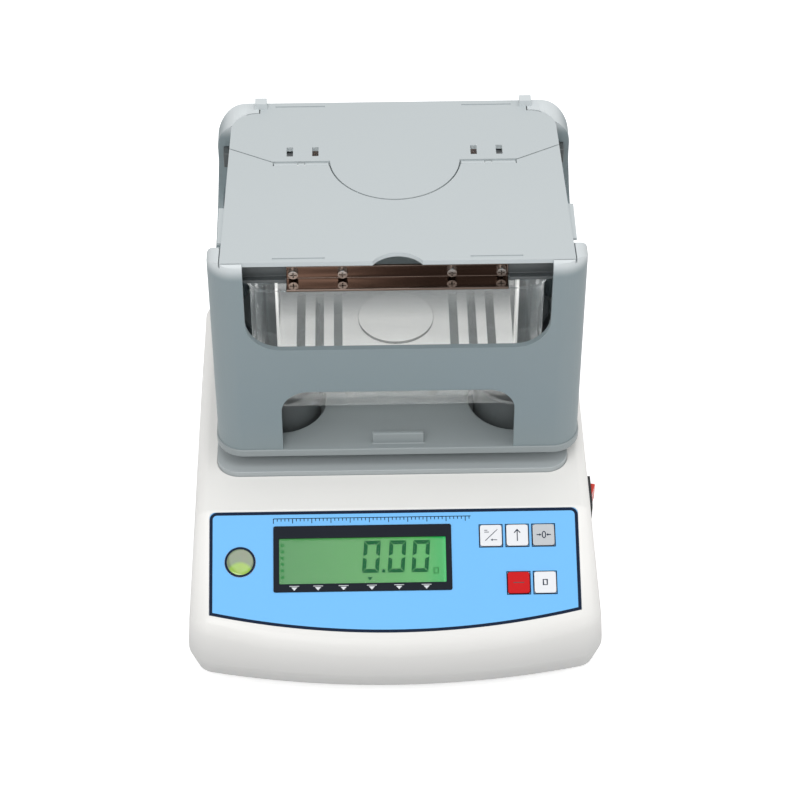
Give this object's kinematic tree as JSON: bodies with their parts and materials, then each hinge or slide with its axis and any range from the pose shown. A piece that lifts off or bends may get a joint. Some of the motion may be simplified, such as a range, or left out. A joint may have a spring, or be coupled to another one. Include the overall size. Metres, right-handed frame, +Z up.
{
  "type": "density meter",
  "caption": "Benchtop density meter: weighing base with a sloping display panel under a lidded box that hangs a steel basket in a clear water tank.",
  "frame": {"origin": "centre of the bounding box's underside, on the table under the four foot pads", "axes": "+Z up, +Y to the back, +X to the right of a user facing the panel; the panel looks to -Y"},
  "size_m": [0.217, 0.234, 0.2206],
  "materials": {
    "white_housing": "fine satin",
    "screw_steel": "plated",
    "insert_brass": "satin",
    "cast_alloy": "machined",
    "circuit_board": "lacquered",
    "grey_housing": "fine satin",
    "dark_plastic": "satin",
    "clear_plastic": "clear",
    "blue_panel": "printed film",
    "black_plastic": "satin",
    "lcd_green": "backlit display",
    "light_guide": "translucent",
    "ribbon": "matt",
    "white_key": "gloss",
    "silver_key": "gloss",
    "red_key": "gloss",
    "level_liquid": "clear",
    "port_metal": "nickel plated",
    "foot_rubber": "matt",
    "foot_wheel": "satin",
    "polished_steel": "polished"
  },
  "bodies": {
    "base": {"bottom_tray": "white_housing", "top_cover": "white_housing", "case_screws": "screw_steel", "foot_inserts": "insert_brass", "chassis_plate": "cast_alloy", "chassis_screws": "screw_steel", "load_cell": "cast_alloy", "cell_bolts": "screw_steel", "overload_stop": "screw_steel", "main_board": "circuit_board", "main_board_screws": "screw_steel", "deck_plate": "grey_housing", "deck_screws": "screw_steel", "tank_pillars": "dark_plastic", "water_tank": "clear_plastic", "front_panel": "blue_panel", "display_bezel": "black_plastic", "display_window": "clear_plastic", "lcd_glass": "lcd_green", "lcd_backlight": "light_guide", "display_board": "circuit_board", "display_board_screws": "screw_steel", "key_switches": "black_plastic", "ribbon_cable": "ribbon", "level_cup": "white_key", "level_vial": "level_liquid", "switch_housing": "black_plastic", "dc_jack": "black_plastic", "serial_port": "port_metal", "port_nuts": "screw_steel", "foot_pad_fl": "foot_rubber", "foot_pad_fr": "foot_rubber", "foot_pad_rl": "foot_rubber", "foot_pad_rr": "foot_rubber"},
    "weighing_frame": {"pan_carrier": "cast_alloy", "carrier_bolts": "screw_steel", "floor_screws": "screw_steel", "floor_plate": "grey_housing", "box_shell": "grey_housing", "shell_screws": "screw_steel", "rear_lid": "grey_housing", "hinge_pins": "screw_steel", "hanger_brackets": "dark_plastic", "hanger_bars": "polished_steel", "hanger_screws": "screw_steel", "basket": "polished_steel"},
    "front_lid": {"front_lid": "grey_housing"},
    "rocker": {"rocker": "red_key"},
    "key_1": {"key_1": "white_key"},
    "key_2": {"key_2": "white_key"},
    "key_3": {"key_3": "silver_key"},
    "key_4": {"key_4": "red_key"},
    "key_5": {"key_5": "white_key"},
    "wheel_fl": {"foot_screw_fl": "foot_wheel"},
    "wheel_fr": {"foot_screw_fr": "foot_wheel"},
    "wheel_rl": {"foot_screw_rl": "foot_wheel"},
    "wheel_rr": {"foot_screw_rr": "foot_wheel"}
  },
  "joints": [
    {"name": "weighing_travel", "type": "slide", "parent": "base", "child": "weighing_frame", "axis": [0, 0, 1], "range_m": [-0.0004, 0.0002], "stiffness_N_per_m": 30000, "springref_m": 0.00021, "deforming": ["load_cell"]},
    {"name": "front_lid_hinge", "type": "hinge", "parent": "weighing_frame", "child": "front_lid", "pos_m": [0.0028, 0.0595, 0.2157], "axis": [-1, 0, 0], "range_deg": [0, 105]},
    {"name": "power_rocker", "type": "hinge", "parent": "base", "child": "rocker", "pos_m": [0.1018, -0.024, 0.052], "axis": [0, 0, 1], "range_deg": [0, 24]},
    {"name": "key_1_press", "type": "slide", "parent": "base", "child": "key_1", "axis": [0, 0.4695, -0.8829], "range_m": [0, 0.0006], "stiffness_N_per_m": 1500},
    {"name": "key_2_press", "type": "slide", "parent": "base", "child": "key_2", "axis": [0, 0.4695, -0.8829], "range_m": [0, 0.0006], "stiffness_N_per_m": 1500},
    {"name": "key_3_press", "type": "slide", "parent": "base", "child": "key_3", "axis": [0, 0.4695, -0.8829], "range_m": [0, 0.0006], "stiffness_N_per_m": 1500},
    {"name": "key_4_press", "type": "slide", "parent": "base", "child": "key_4", "axis": [0, 0.4695, -0.8829], "range_m": [0, 0.0006], "stiffness_N_per_m": 1500},
    {"name": "key_5_press", "type": "slide", "parent": "base", "child": "key_5", "axis": [0, 0.4695, -0.8829], "range_m": [0, 0.0006], "stiffness_N_per_m": 1500},
    {"name": "foot_fl_turn", "type": "hinge", "parent": "base", "child": "wheel_fl", "pos_m": [-0.0782, -0.08, 0.005], "axis": [0, 0, 1], "range_deg": [0, 1080]},
    {"name": "foot_fr_turn", "type": "hinge", "parent": "base", "child": "wheel_fr", "pos_m": [0.0778, -0.08, 0.005], "axis": [0, 0, 1], "range_deg": [0, 1080]},
    {"name": "foot_rl_turn", "type": "hinge", "parent": "base", "child": "wheel_rl", "pos_m": [-0.0782, 0.092, 0.005], "axis": [0, 0, 1], "range_deg": [0, 1080]},
    {"name": "foot_rr_turn", "type": "hinge", "parent": "base", "child": "wheel_rr", "pos_m": [0.0778, 0.092, 0.005], "axis": [0, 0, 1], "range_deg": [0, 1080]}
  ]
}
